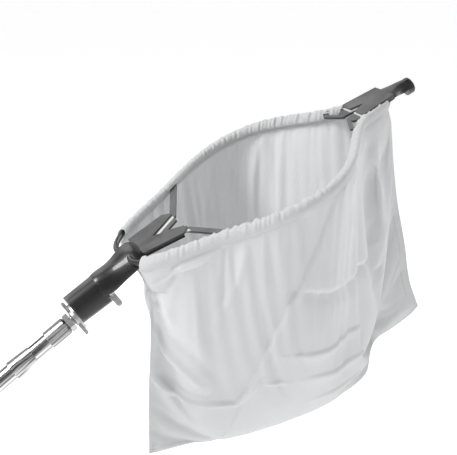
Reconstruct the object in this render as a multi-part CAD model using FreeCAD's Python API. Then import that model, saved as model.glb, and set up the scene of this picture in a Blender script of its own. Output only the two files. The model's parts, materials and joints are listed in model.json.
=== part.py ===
"""Fruit picker basket: a steel ring and cloth bag on the threaded end of a telescopic pole.

Everything is in millimetres and drawn in the posture of use: the pole rises forward along +X,
the bag hangs straight down along -Z, and Y runs across the ring.  The origin is the centre of
the open lower end of the pole.

Two slanted frames carry most of the parts:
  pole frame  x runs up the pole's axis, origin at the socket mouth
  head frame  x runs forward in the plane of the ring, z is the ring's normal, origin where the
              ring rod crosses under the neck
"""
import FreeCAD, Part
import math
import os

from FreeCAD import Vector

# ---- driving dimensions -------------------------------------------------------------------
HEAD_PITCH = 25.0           # slope of the ring's plane, degrees above the horizontal
POLE_BEND = 10.0            # the pole is this much steeper than the ring's plane
MOUTH_BACK = 71.0           # socket mouth behind the rod crossing, in the ring's plane
MOUTH_DROP = 31.7           # pole axis below the ring's plane at the mouth

ROD_R = 3.0                 # ring rod
RING_LENGTH = 324.0         # rod crossing to rod crossing
RING_HALF_WIDTH = 118.0

SOCKET_R = 16.5             # outside, at the mouth
SOCKET_END_R = 17.2         # outside, where the closed tube ends
SOCKET_LENGTH = 36.0
SOCKET_OFFSET = 7.7         # tube centre above the pole axis at the mouth
SOCKET_END_OFFSET = 5.9     # and at the end of the closed tube
SHEET = 2.2                 # pressed steel sheet of both forks

STUD_R = 5.0                # M10 threaded stud
STUD_CLEARANCE = 0.08       # on the radius, in everything that turns on the stud
UPPER_TUBE_R = 8.0          # Ø16 upper pole section
LOWER_TUBE_R = 8.8          # Ø17.6 lower pole section
TUBE_WALL = 0.7
SLIDE_CLEARANCE = 0.1       # on the radius, between the two pole sections

FERRULE_R = 9.6
FERRULE_LENGTH = 25.0
EXPOSED_TUBE = 20.0         # upper tube showing between collar and ferrule
COLLAR_LENGTH = 26.0
COLLAR_R = 10.4
LOWER_TUBE_LENGTH = 190.0
OVERLAP = 130.0             # upper tube hidden inside the lower one

CASING_R = 6.2              # hem of the bag around the ring rod
CASING_SAG = 1.8            # the hem hangs a little below the rod
CASING_NEAR_END_LEFT = (14.0, 46.0)
CASING_NEAR_END_RIGHT = (6.0, 36.5)
CASING_FAR_END = (RING_LENGTH - 9.0, 19.0)
CLOTH = 2.0                 # thickness given to the cloth
CLOTH_CLEARANCE = 0.3       # between cloth and steel
MOUTH_RECESS = 0.3          # the plug stops short of the socket's mouth
SEAM_GAP = 0.05             # from the bag's middle plane to each panel
CONTACT_GAP = 0.05          # between parts that are welded or seated together
ROD_GAP = 0.02              # around the ring rod where a fork or an arm is notched for it

# ---- placing ------------------------------------------------------------------------------
X_AXIS = Vector(1, 0, 0)
Y_AXIS = Vector(0, 1, 0)
Z_AXIS = Vector(0, 0, 1)
POLE_PITCH = HEAD_PITCH + POLE_BEND


def slanted(origin, pitch):
    """Placement whose x axis rises at `pitch` degrees in the XZ plane."""
    return FreeCAD.Placement(origin, FreeCAD.Rotation(Y_AXIS, -pitch))


POLE_IN_HEAD = slanted(Vector(-MOUTH_BACK, 0, -MOUTH_DROP), POLE_BEND)


def placed(shape, frame):
    """The shape, drawn in a slanted frame, moved to the part's own frame."""
    moved = shape.copy()
    moved.Placement = frame.multiply(moved.Placement)
    return moved


# ---- small shape helpers ------------------------------------------------------------------
def rod(radius, start, end):
    """Solid cylinder on the x axis of its frame."""
    return Part.makeCylinder(radius, end - start, Vector(start, 0, 0), X_AXIS)


def tube(outer, inner, start, end):
    return rod(outer, start, end).cut(rod(inner, start, end))


def turned(profile):
    """Solid of revolution about the x axis from (x, radius) points."""
    points = [Vector(x, 0, r) for x, r in profile]
    face = Part.Face(Part.makePolygon(points + [points[0]]))
    return face.revolve(Vector(0, 0, 0), X_AXIS, 360)


def flat(points, bottom, thickness):
    """Flat plate from (x, y) points, standing on z = bottom."""
    corners = [Vector(x, y, bottom) for x, y in points]
    face = Part.Face(Part.makePolygon(corners + [corners[0]]))
    return face.extrude(Vector(0, 0, thickness))


def hexagon(across_flats, start, end):
    corner = across_flats / math.sqrt(3)
    angles = [math.radians(60 * i) for i in range(6)]
    points = [Vector(start, corner * math.cos(a), corner * math.sin(a)) for a in angles]
    return Part.Face(Part.makePolygon(points + [points[0]])).extrude(Vector(end - start, 0, 0))


def softened(shape, radius, wanted):
    """Fillet the edges that `wanted` picks."""
    edges = [edge for edge in shape.Edges if wanted(edge)]
    return shape.makeFillet(radius, edges)


# ---- pole ---------------------------------------------------------------------------------
WASHER_R = 15.0
WASHER_THICK = 2.2
WING_NUT_LENGTH = 4.2
WING_NUT_HUB_R = 8.6
WING_SPAN = 20.5
WING_THICK = 5.0
EAR_ANGLE = 62.0
STUD_GAP = 1.2              # bare thread between wing nut and jam nut
JAM_NUT_LENGTH = 6.0
JAM_NUT_FLATS = 17.0

WASHER_END = -WASHER_THICK - CONTACT_GAP
WING_NUT_TOP = WASHER_END - CONTACT_GAP
WING_NUT_END = WING_NUT_TOP - WING_NUT_LENGTH
JAM_NUT_TOP = WING_NUT_END - STUD_GAP
JAM_NUT_END = JAM_NUT_TOP - JAM_NUT_LENGTH
FERRULE_TOP = JAM_NUT_END - CONTACT_GAP
FERRULE_END = FERRULE_TOP - FERRULE_LENGTH
COLLAR_TOP = FERRULE_END - EXPOSED_TUBE
COLLAR_END = COLLAR_TOP - COLLAR_LENGTH
LOWER_TUBE_TOP = COLLAR_END + 10.0
COLLET_TOP = COLLAR_END + 20.0
COLLET_WALL = 0.5           # at the thin end; the cone adds to it at the lower tube
LOWER_TUBE_END = LOWER_TUBE_TOP - LOWER_TUBE_LENGTH
UPPER_TUBE_END = LOWER_TUBE_TOP - OVERLAP
PLUG_DEPTH = 22.0           # threaded plug inside the ferrule end of the upper tube
FERRULE_LIP = 2.0           # closed end of the ferrule
CAPTIVE_NUT_LENGTH = 7.0
CAPTIVE_NUT_HUB_R = 8.0
STUD_TOP = SOCKET_LENGTH + CAPTIVE_NUT_LENGTH + 5.0


def lower_tube():
    inner = UPPER_TUBE_R + SLIDE_CLEARANCE
    return tube(LOWER_TUBE_R, inner, LOWER_TUBE_END, LOWER_TUBE_TOP)


def collet_cone(gap):
    """Radii of the collet's cone at its wide and thin ends, grown by `gap`."""
    thin = UPPER_TUBE_R + SLIDE_CLEARANCE + COLLET_WALL + gap
    return thin + 0.3, thin


def lock_collar():
    """Tapered twist-lock collar, widest where it grips the lower tube."""
    bore = UPPER_TUBE_R + SLIDE_CLEARANCE
    seat = LOWER_TUBE_R + SLIDE_CLEARANCE
    wide, thin = collet_cone(CONTACT_GAP)
    profile = [(COLLAR_END, seat), (COLLAR_END, COLLAR_R), (COLLAR_END + 2, COLLAR_R),
               (COLLAR_TOP, UPPER_TUBE_R + 0.8), (COLLAR_TOP, bore), (COLLET_TOP + CONTACT_GAP, bore),
               (COLLET_TOP + CONTACT_GAP, thin), (LOWER_TUBE_TOP + CONTACT_GAP, wide),
               (LOWER_TUBE_TOP + CONTACT_GAP, seat)]
    return turned(profile)


def lock_collet():
    """Split cone that the collar squeezes onto the upper tube."""
    bore = UPPER_TUBE_R + SLIDE_CLEARANCE
    wide, thin = collet_cone(0)
    start = LOWER_TUBE_TOP + 2 * CONTACT_GAP
    cone = turned([(start, bore), (start, wide), (COLLET_TOP, thin), (COLLET_TOP, bore)])
    slit = Part.makeBox(COLLET_TOP - start, 1.2, LOWER_TUBE_R * 2, Vector(start, -0.6, 0))
    return cone.cut(slit)


def upper_tube():
    inner = UPPER_TUBE_R - TUBE_WALL
    return tube(UPPER_TUBE_R, inner, UPPER_TUBE_END, FERRULE_TOP - FERRULE_LIP)


def guide_plug():
    """Plug that closes the hidden end of the upper tube and guides it in the lower one."""
    shank_length = 14.0
    head_length = 16.0
    shank_r = UPPER_TUBE_R - TUBE_WALL - CONTACT_GAP
    shank = rod(shank_r, UPPER_TUBE_END - head_length / 2, UPPER_TUBE_END + shank_length)
    head = rod(UPPER_TUBE_R, UPPER_TUBE_END - head_length, UPPER_TUBE_END - CONTACT_GAP)
    return shank.fuse(head).removeSplitter()


def end_ferrule():
    """Sleeve over the end of the upper tube, closed towards the stud with a rounded shoulder."""
    bore = UPPER_TUBE_R + CONTACT_GAP
    shoulder = FERRULE_TOP - FERRULE_LIP + CONTACT_GAP
    profile = [(FERRULE_END, bore), (FERRULE_END, FERRULE_R - 0.5), (FERRULE_END + 0.5, FERRULE_R),
               (FERRULE_TOP - 2.5, FERRULE_R), (FERRULE_TOP - 0.8, FERRULE_R - 0.8),
               (FERRULE_TOP, FERRULE_R - 2.5), (FERRULE_TOP, STUD_R + CONTACT_GAP),
               (shoulder, STUD_R + CONTACT_GAP), (shoulder, bore)]
    return turned(profile)


def stud_plug():
    """Plug inside the upper tube that anchors the stud."""
    outer = UPPER_TUBE_R - TUBE_WALL - CONTACT_GAP
    top = FERRULE_TOP - FERRULE_LIP
    return tube(outer, STUD_R + CONTACT_GAP, top - PLUG_DEPTH, top)


def threaded_stud():
    """M10 threaded rod; the thread itself is left plain."""
    start = FERRULE_TOP - FERRULE_LIP - PLUG_DEPTH
    stud = rod(STUD_R, start, STUD_TOP)
    return softened(stud, 1.0, lambda edge: edge.BoundBox.XMin > STUD_TOP - 0.1)


def jam_nut():
    body = hexagon(JAM_NUT_FLATS, JAM_NUT_END, JAM_NUT_TOP)
    chamfer_r = JAM_NUT_FLATS / 2 + 0.2
    tip_r = chamfer_r + 2.0
    barrel = turned([(JAM_NUT_END, 0), (JAM_NUT_END, chamfer_r), (JAM_NUT_END + 1.1, tip_r),
                     (JAM_NUT_TOP - 1.1, tip_r), (JAM_NUT_TOP, chamfer_r), (JAM_NUT_TOP, 0)])
    bore = rod(STUD_R + STUD_CLEARANCE, JAM_NUT_END - 1, JAM_NUT_TOP + 1)
    return body.common(barrel).cut(bore)


def wing(span, root, thickness, start, end):
    """One rounded wing of a wing nut, standing out along +y."""
    length = end - start
    tip_y = span - length / 2
    middle_x = (start + end) / 2
    slab = Part.makeBox(length, tip_y, thickness, Vector(start, 0, -thickness / 2))
    tip = Part.makeCylinder(length / 2, thickness, Vector(middle_x, tip_y, -thickness / 2), Z_AXIS)
    core = rod(root, start - 1, end + 1)
    return slab.fuse(tip).cut(core)


def winged_nut(start, length, hub_r, wing_angles):
    """Round nut with a wing at each of the angles (degrees from +y towards +z)."""
    hub = turned([(start, 0), (start, hub_r - 1.5), (start + 1.5, hub_r), (start + length, hub_r),
                  (start + length, 0)])
    body = hub
    for angle in wing_angles:
        one = wing(WING_SPAN, hub_r - 1.0, WING_THICK, start + 0.6, start + length)
        one.rotate(Vector(0, 0, 0), X_AXIS, angle)
        body = body.fuse(one)
    bore = rod(STUD_R + STUD_CLEARANCE, start - 1, start + length + 1)
    return body.removeSplitter().cut(bore)


def wing_nut():
    return winged_nut(WING_NUT_END, WING_NUT_LENGTH, WING_NUT_HUB_R, (EAR_ANGLE, EAR_ANGLE - 180))


def mouth_washer():
    """Bright washer between the wing nut and the socket, centred on the stud."""
    return tube(WASHER_R, STUD_R + STUD_CLEARANCE, WASHER_END, -CONTACT_GAP)


# ---- pressed forks ------------------------------------------------------------------------
def arch(x, half_width, top, base):
    """Closed wire in the plane x: a strip of sheet bent over as an arch."""
    def curve(width, crown, foot):
        left = Vector(x, width, foot)
        right = Vector(x, -width, foot)
        return Part.Arc(left, Vector(x, 0, crown), right).toShape()

    outer = curve(half_width, top, base)
    inner = curve(half_width - SHEET, top - SHEET, base)
    right_foot = Part.makeLine(Vector(x, -half_width, base), Vector(x, SHEET - half_width, base))
    left_foot = Part.makeLine(Vector(x, half_width - SHEET, base), Vector(x, half_width, base))
    return Part.Wire([outer, right_foot, inner, left_foot])


def neck(sections):
    return Part.makeLoft([arch(*section) for section in sections], True, False)


def forked_plate(root, tip, corner, notch, top, flange_depth):
    """Flat plate with folded-down sides and a V notch in its tip.

    root, tip and notch are (x, half width) pairs, the notch's being its depth point and its half
    width at the tip; `corner` is how much the tip's corners are cut off.
    """
    (root_x, root_half), (tip_x, tip_half), (notch_x, notch_half) = root, tip, notch
    way = 1 if tip_x > root_x else -1
    shoulder = (tip_x - corner * way, tip_half)
    outline = [(root_x, root_half), shoulder, (tip_x, tip_half - corner), (tip_x, notch_half),
               (notch_x, 0.0)]
    plate = flat(outline + [(x, -y) for x, y in reversed(outline[:-1])], top - SHEET, SHEET)
    inset = SHEET / 2 + FLANGE_STEP
    for side in (1, -1):
        start = (root_x, side * (root_half - inset))
        end = (shoulder[0], side * (tip_half - inset))
        plate = plate.fuse(arm(start, end, SHEET, top - flange_depth, flange_depth))
    return plate


def notch_strip(notch, tip_x, inner, outer, bottom, thickness):
    """Flat V strip along a notch: `inner` mm into the opening, `outer` mm under the plate."""
    notch_x, notch_half = notch
    run = tip_x - notch_x
    slope = notch_half / run
    sine = slope / math.hypot(1, slope)
    inner_x = notch_x + inner / sine
    outer_x = notch_x - outer / sine
    points = [(inner_x, 0.0), (tip_x, (tip_x - inner_x) * slope), (tip_x, (tip_x - outer_x) * slope),
              (outer_x, 0.0)]
    return flat(points + [(x, -y) for x, y in reversed(points[1:-1])], bottom, thickness)


def arm(start, end, width, bottom, thickness):
    """Flat strip between two (x, y) points."""
    (x0, y0), (x1, y1) = start, end
    length = math.hypot(x1 - x0, y1 - y0)
    across = (-(y1 - y0) / length * width / 2, (x1 - x0) / length * width / 2)
    points = [(x0 + across[0], y0 + across[1]), (x1 + across[0], y1 + across[1]),
              (x1 - across[0], y1 - across[1]), (x0 - across[0], y0 - across[1])]
    return flat(points, bottom, thickness)


BLADE_THICK = 1.2
ARM_THICK = 2.4
FLANGE_STEP = 0.1           # the folded-down sides stand this much inside the plate's outline
ARCH_STEP = 0.1             # and a neck meets its plate this much below the plate's top

NEAR_TOP = 1.2              # the near plate lies in the ring's plane, its neck bridges the rod
NEAR_ROOT = (14.0, 23.5)
NEAR_TIP = (66.0, 32.0)
NEAR_CORNER = 8.0
NEAR_NOTCH = (34.0, 21.0)
NEAR_FLANGE = 5.2
NECK_WAIST = (-28.0, 19.5, -0.7, -20.5)     # arches of the neck: x, half width, crown, foot
NECK_SPREAD = (-12.0, 24.5, 1.8, -14.0)
NECK_BRIDGE = (0.0, 28.5, 5.8, -9.5)

FAR_TOP = ROD_R + CONTACT_GAP + SHEET       # the far plate lies on the rod
FAR_ROOT = (RING_LENGTH + 4.0, 19.0)
FAR_TIP = (RING_LENGTH - 37.5, 24.0)
FAR_CORNER = 2.0
FAR_NOTCH = (RING_LENGTH - 23.5, 5.0)
FAR_FLANGE = 6.0
FAR_END = RING_LENGTH + 36.0
FAR_STUB_R = 9.0
FAR_STUB_LENGTH = 9.0


def socket_fork():
    """Rolled socket tube whose upper wall runs on as a neck and opens into the forked plate."""
    mouth = Part.makeCircle(SOCKET_R, Vector(0, 0, SOCKET_OFFSET), X_AXIS)
    end = Part.makeCircle(SOCKET_END_R, Vector(SOCKET_LENGTH, 0, SOCKET_END_OFFSET), X_AXIS)
    outer = Part.makeLoft([Part.Wire(mouth), Part.Wire(end)], True)
    mouth_in = Part.makeCircle(SOCKET_R - SHEET, Vector(0, 0, SOCKET_OFFSET), X_AXIS)
    end_in = Part.makeCircle(SOCKET_END_R - SHEET, Vector(SOCKET_LENGTH, 0, SOCKET_END_OFFSET), X_AXIS)
    inner = Part.makeLoft([Part.Wire(mouth_in), Part.Wire(end_in)], True)
    socket = placed(outer.cut(inner), POLE_IN_HEAD)

    centre = POLE_IN_HEAD.multVec(Vector(SOCKET_LENGTH, 0, SOCKET_END_OFFSET))
    tube_overlap = 4.0
    joint = (centre.x - tube_overlap, SOCKET_END_R, centre.z + SOCKET_END_R, centre.z)
    plate_arch = (NEAR_ROOT[0] + 2, NEAR_ROOT[1] + 1, NEAR_TOP - ARCH_STEP, NEAR_TOP - NEAR_FLANGE + 0.4)
    throat = neck([joint, NECK_WAIST, NECK_SPREAD, NECK_BRIDGE, plate_arch])
    plate = forked_plate(NEAR_ROOT, NEAR_TIP, NEAR_CORNER, NEAR_NOTCH, NEAR_TOP, NEAR_FLANGE)
    fork = socket.fuse(throat).fuse(plate)
    fork = fork.cut(placed(filling(CONTACT_GAP), POLE_IN_HEAD))
    return fork.cut(ring_pipe(ROD_R + ROD_GAP, 0))


def far_fork():
    """Smaller fork at the far side of the ring; its neck closes into a short rolled stub."""
    stub_z = FAR_TOP - FAR_STUB_R - 1.0
    root_x, root_half = FAR_ROOT
    sections = [
        (root_x - 1, root_half, FAR_TOP - ARCH_STEP, FAR_TOP - FAR_FLANGE + 1),
        (root_x + 10, 0.8 * root_half, FAR_TOP - ARCH_STEP, -2.0),
        (root_x + 20, FAR_STUB_R + 1.5, FAR_TOP - 0.5, stub_z),
        (FAR_END - 5, FAR_STUB_R - 0.4, stub_z + FAR_STUB_R - 0.4, stub_z + 0.3),
    ]
    stub_start = Vector(FAR_END - FAR_STUB_LENGTH, 0, stub_z)
    stub = Part.makeCylinder(FAR_STUB_R, FAR_STUB_LENGTH, stub_start, X_AXIS)
    stub = softened(stub, 3.0, lambda edge: edge.BoundBox.XMin > FAR_END - 0.1)
    plate = forked_plate(FAR_ROOT, FAR_TIP, FAR_CORNER, FAR_NOTCH, FAR_TOP, FAR_FLANGE)
    fork = neck(sections).fuse(stub).fuse(plate)
    return fork.cut(ring_pipe(ROD_R + ROD_GAP, 0))


NEAR_BLADE_BOTTOM = NEAR_TOP - SHEET - CONTACT_GAP - BLADE_THICK
NEAR_ARM_BOTTOM = NEAR_BLADE_BOTTOM - CONTACT_GAP - ARM_THICK
NEAR_ARM = ((66.0, 22.0), (96.0, 90.0))     # one of the two straight arms, from V to rod
NEAR_ARM_WIDTH = 7.0
NEAR_BLADE_EDGES = (3.8, 8.0)               # how far the strip reaches into the notch and under the plate
NEAR_V_EDGES = (9.0, 4.0)
FAR_BLADE_BOTTOM = FAR_TOP - SHEET - CONTACT_GAP - BLADE_THICK
FAR_ARM_BOTTOM = FAR_BLADE_BOTTOM - CONTACT_GAP - ARM_THICK
FAR_ELBOW = (FAR_TIP[0] - 20.0, 29.0)
FAR_ARMS = (((FAR_TIP[0] - 10.0, 6.0), FAR_ELBOW), (FAR_ELBOW, (FAR_TIP[0] - 14.5, 37.0)))
FAR_ARM_WIDTH = 4.5
FAR_STRIP = 10.5            # dark plate showing beyond the far plate's tip


def near_blade():
    """Ground V strip that shows inside the near notch."""
    return notch_strip(NEAR_NOTCH, NEAR_TIP[0], *NEAR_BLADE_EDGES, NEAR_BLADE_BOTTOM, BLADE_THICK)


def far_blade():
    """Ground strip that shows a little beyond the far plate's tip and inside its notch."""
    tip_x, tip_half = FAR_TIP
    notch_x, notch_half = FAR_NOTCH
    shows = 1.4
    hidden = 4.0
    half = tip_half - hidden
    points = [(tip_x - shows, half), (tip_x - shows, notch_half - shows), (notch_x - 2 * shows, 0),
              (tip_x - shows, shows - notch_half), (tip_x - shows, -half),
              (tip_x + hidden, -half), (tip_x + hidden, -notch_half), (notch_x + hidden, 0),
              (tip_x + hidden, notch_half), (tip_x + hidden, half)]
    return flat(points, FAR_BLADE_BOTTOM, BLADE_THICK)


def near_arms():
    """Dark strip under the near blade: a V along the notch with an arm out to the ring each side."""
    body = notch_strip(NEAR_NOTCH, NEAR_TIP[0], *NEAR_V_EDGES, NEAR_ARM_BOTTOM, ARM_THICK)
    return with_arms(body, [NEAR_ARM], NEAR_ARM_WIDTH, NEAR_ARM_BOTTOM)


def far_arms():
    """Dark plate under the far blade, split by the notch, with a kinked arm out to the ring each side."""
    tip_x, tip_half = FAR_TIP
    notch_x, notch_half = FAR_NOTCH
    strip_x = tip_x - FAR_STRIP
    strip_half = 16.0
    bridge_start = notch_x - 3.0
    bridge_end = notch_x + 4.0
    bridge_half = 0.6
    lap = 0.5
    half = [(bridge_start, lap), (bridge_end, lap), (tip_x + 3, tip_half - 4), (tip_x - 4, tip_half - 3),
            (strip_x, strip_half), (strip_x, notch_half)]
    bridge = [(bridge_start, bridge_half), (bridge_end, bridge_half),
              (bridge_end, -bridge_half), (bridge_start, -bridge_half)]
    body = flat(bridge, FAR_ARM_BOTTOM, ARM_THICK)
    for side in (1, -1):
        body = body.fuse(flat([(x, side * y) for x, y in half], FAR_ARM_BOTTOM, ARM_THICK))
    return with_arms(body, FAR_ARMS, FAR_ARM_WIDTH, FAR_ARM_BOTTOM)


def with_arms(body, arms, width, bottom):
    """The body with mirrored arms, each a chain of strips with round joints, notched for the rod."""
    for side in (1, -1):
        for start, end in arms:
            start = (start[0], side * start[1])
            end = (end[0], side * end[1])
            body = body.fuse(arm(start, end, width, bottom, ARM_THICK))
            body = body.fuse(Part.makeCylinder(width / 2, ARM_THICK, Vector(*start, bottom), Z_AXIS))
    return body.removeSplitter().cut(ring_pipe(ROD_R + ROD_GAP, 0))


# ---- socket filling -----------------------------------------------------------------------
def filling(gap):
    """The room inside the socket tube, `gap` mm short of its wall."""
    inset = SHEET + gap
    mouth = Part.makeCircle(SOCKET_R - inset, Vector(MOUTH_RECESS, 0, SOCKET_OFFSET), X_AXIS)
    end = Part.makeCircle(SOCKET_END_R - inset, Vector(SOCKET_LENGTH, 0, SOCKET_END_OFFSET), X_AXIS)
    return Part.makeLoft([Part.Wire(mouth), Part.Wire(end)], True)


def socket_plug():
    """Solid filling of the socket tube, bored for the stud."""
    return filling(2 * CONTACT_GAP).cut(rod(STUD_R + STUD_CLEARANCE, -1, SOCKET_LENGTH + 1))


def captive_nut():
    """Nut beyond the plug; both its ears reach down past the open neck, which stops it turning."""
    start = SOCKET_LENGTH + CONTACT_GAP
    return winged_nut(start, CAPTIVE_NUT_LENGTH, CAPTIVE_NUT_HUB_R, (EAR_ANGLE - 180, -EAR_ANGLE))


# ---- ring ---------------------------------------------------------------------------------
def ring_points():
    """Half outline of the ring in its plane: blunt at the neck, widest half way, then drawn in to
    a narrow stretch under the far fork."""
    length = RING_LENGTH
    half = RING_HALF_WIDTH
    return [(0.0, 0.22 * half), (0.07 * length, 0.44 * half), (0.24 * length, 0.68 * half),
            (0.39 * length, 0.91 * half), (0.52 * length, half), (0.64 * length, 0.92 * half),
            (0.75 * length, 0.62 * half), (0.84 * length, 0.30 * half), (0.91 * length, 0.18 * half),
            (0.97 * length, 0.16 * half)]


def ring_curve(drop):
    half = ring_points()
    points = [(0.0, 0.0)] + half + [(RING_LENGTH, 0.0)] + [(x, -y) for x, y in reversed(half)]
    curve = Part.BSplineCurve()
    curve.interpolate([Vector(x, y, -drop) for x, y in points], PeriodicFlag=True)
    return curve


def swept(edge, radius):
    """Round bar along an edge."""
    start = edge.valueAt(edge.FirstParameter)
    along = edge.tangentAt(edge.FirstParameter)
    circle = Part.Wire(Part.makeCircle(radius, start, along))
    return Part.Wire(edge).makePipeShell([circle], True, False)


def ring_pipe(radius, drop):
    return swept(ring_curve(drop).toShape(), radius)


def ring_rod():
    return ring_pipe(ROD_R, 0)


def arms_room():
    """The left arms with cloth clearance all round."""
    near = ([NEAR_ARM], NEAR_ARM_WIDTH, NEAR_ARM_BOTTOM)
    far = (FAR_ARMS, FAR_ARM_WIDTH, FAR_ARM_BOTTOM)
    strips = []
    for arms, width, bottom in (near, far):
        width += 2 * CLOTH_CLEARANCE
        bottom -= CLOTH_CLEARANCE
        thickness = ARM_THICK + 2 * CLOTH_CLEARANCE
        for start, end in arms:
            strips.append(arm(start, end, width, bottom, thickness))
            strips.append(Part.makeCylinder(width / 2, thickness, Vector(*start, bottom), Z_AXIS))
    return strips[0].fuse(strips[1:])


ROOM_LENGTH = 90.0          # room kept in the hem for the far plate, longer and higher than the plate
ROOM_HEIGHT = 40.0


def casing(near_end, side):
    """Hem of the bag around one half of the ring, slit where the arms reach the rod.

    It is drawn on the left, starting near the (x, y) point `near_end`, and mirrored for the right.
    """
    curve = ring_curve(CASING_SAG)
    start = curve.parameter(Vector(*near_end, -CASING_SAG))
    end = curve.parameter(Vector(*CASING_FAR_END, -CASING_SAG))
    sleeve = swept(curve.toShape(start, end), CASING_R)
    sleeve = sleeve.cut(arms_room())
    half = FAR_TIP[1] + CLOTH_CLEARANCE
    room_bottom = min(FAR_TOP - FAR_FLANGE, FAR_ARM_BOTTOM) - CLOTH_CLEARANCE
    room_start = FAR_TIP[0] - FAR_STRIP - CLOTH_CLEARANCE
    far_plate_room = Part.makeBox(ROOM_LENGTH, 2 * half, ROOM_HEIGHT, Vector(room_start, -half, room_bottom))
    sleeve = sleeve.cut(far_plate_room)
    if side < 0:
        sleeve = sleeve.mirror(Vector(0, 0, 0), Y_AXIS)
    return sleeve.cut(ring_pipe(ROD_R + CLOTH_CLEARANCE, 0))


# ---- bag ----------------------------------------------------------------------------------
# Ribs across the bag, from its near seam to its far one, in axes parallel to the part's own from
# the head's origin: x, height of the mouth, height of the bottom, half width at the mouth.
BAG_RIBS = [
    (14.0, -4.0, -224.0, 3.0),
    (26.0, 1.0, -224.0, 44.0),
    (60.0, 17.0, -220.0, 74.0),
    (100.0, 36.0, -210.0, 98.0),
    (130.0, 50.0, -202.0, 113.0),
    (160.0, 63.0, -196.0, 118.0),
    (195.0, 80.0, -189.0, 111.0),
    (225.0, 94.0, -181.0, 88.0),
    (250.0, 106.0, -170.0, 50.0),
    (270.0, 115.0, -152.0, 30.0),
    (291.0, 124.0, -133.0, 22.0),
    (312.0, 34.0, -123.0, 12.0),
    (344.0, -98.0, -111.0, 3.0),
]
# Half width of a rib as a share of its width at the mouth, against depth as a share of its own.
RIB_BELLY = [(0.0, 1.0), (0.2, 0.95), (0.4, 0.84), (0.6, 0.67), (0.8, 0.42), (0.93, 0.2), (1.0, 0.0)]
THIN_EDGE = 3.0             # half thickness at the seams
LIP_RISE = 0.1              # height of the skin's upright lip
ROOM_RISE = 8.0             # height by which the room inside stands out of the mouth


def bag_rib(rib, inset, opening):
    """Closed wire across the bag, `inset` mm inside its skin, with its mouth raised by `opening`."""
    x, mouth, bottom, half = rib
    floor = bottom + 2 * inset
    side = [(max(half * share, THIN_EDGE) - inset, mouth + (floor - mouth) * depth)
            for depth, share in RIB_BELLY]
    lip = side[0][0]
    side = [(lip, mouth + opening)] + side
    loop = [Vector(x, y, z) for y, z in side] + [Vector(x, -y, z) for y, z in reversed(side)]
    return Part.makePolygon(loop + [loop[0]])


def bag_shell():
    """Hollow bag, open at the top."""
    outer = Part.makeLoft([bag_rib(rib, 0.0, LIP_RISE) for rib in BAG_RIBS], True, True)
    room = [bag_rib(rib, CLOTH, ROOM_RISE) for rib in BAG_RIBS[1:-2]]
    closed_end = bag_rib(BAG_RIBS[-2], CLOTH, -2 * CLOTH)
    return outer.cut(Part.makeLoft(room + [closed_end], True, True))


def bag_panel(side):
    """Half of the bag on one side of its seams."""
    reach = 400.0
    corner = Vector(-reach, SEAM_GAP if side > 0 else -reach - SEAM_GAP, -reach)
    half_space = Part.makeBox(3 * reach, reach, 2 * reach, corner)
    return bag_shell().common(half_space)


PARTS_POLE = {
    "lower_tube": lower_tube,
    "lock_collar": lock_collar,
    "lock_collet": lock_collet,
    "upper_tube": upper_tube,
    "guide_plug": guide_plug,
    "end_ferrule": end_ferrule,
    "stud_plug": stud_plug,
    "threaded_stud": threaded_stud,
    "jam_nut": jam_nut,
    "wing_nut": wing_nut,
    "mouth_washer": mouth_washer,
    "socket_plug": socket_plug,
    "captive_nut": captive_nut,
}
PARTS_HEAD = {
    "socket_fork": socket_fork,
    "near_blade": near_blade,
    "near_arms": near_arms,
    "ring_rod": ring_rod,
    "far_fork": far_fork,
    "far_blade": far_blade,
    "far_arms": far_arms,
    "casing_left": lambda: casing(CASING_NEAR_END_LEFT, 1),
    "casing_right": lambda: casing(CASING_NEAR_END_RIGHT, -1),
}
PARTS_BAG = {
    "bag_left_panel": lambda: bag_panel(1),
    "bag_right_panel": lambda: bag_panel(-1),
}


def export(parts, frame):
    for name, make in parts.items():
        placed(make(), frame).exportStep("parts/" + name + ".step")


def main():
    os.makedirs("parts", exist_ok=True)
    mouth = slanted(Vector(0, 0, 0), POLE_PITCH).multVec(Vector(-LOWER_TUBE_END, 0, 0))
    head_origin = slanted(mouth, HEAD_PITCH).multVec(Vector(MOUTH_BACK, 0, MOUTH_DROP))
    export(PARTS_POLE, slanted(mouth, POLE_PITCH))
    export(PARTS_HEAD, slanted(head_origin, HEAD_PITCH))
    export(PARTS_BAG, slanted(head_origin, 0))


main()
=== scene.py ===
"""Looks of the fruit picker basket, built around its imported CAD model.

The metal parts are the CAD nodes themselves with bevels and procedural materials.  The hem, the
bag's two cloth panels and their stitching are built here and stand for the plain CAD solids.
"""

import json
import math
import random

import bpy
import numpy as np
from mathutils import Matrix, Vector
from mathutils.bvhtree import BVHTree


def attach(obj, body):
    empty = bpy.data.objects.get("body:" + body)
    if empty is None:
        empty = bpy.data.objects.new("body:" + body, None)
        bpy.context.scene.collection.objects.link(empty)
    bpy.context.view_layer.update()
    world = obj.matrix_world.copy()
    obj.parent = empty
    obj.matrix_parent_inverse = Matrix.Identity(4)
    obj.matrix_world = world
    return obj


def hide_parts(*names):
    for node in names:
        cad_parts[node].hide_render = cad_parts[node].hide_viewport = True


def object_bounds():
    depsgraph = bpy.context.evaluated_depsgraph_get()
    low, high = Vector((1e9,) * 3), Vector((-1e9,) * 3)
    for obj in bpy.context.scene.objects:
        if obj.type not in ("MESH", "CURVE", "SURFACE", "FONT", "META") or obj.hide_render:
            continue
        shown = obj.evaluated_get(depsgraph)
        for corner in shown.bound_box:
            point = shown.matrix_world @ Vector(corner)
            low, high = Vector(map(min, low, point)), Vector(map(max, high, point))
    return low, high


MM = 0.001
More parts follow.
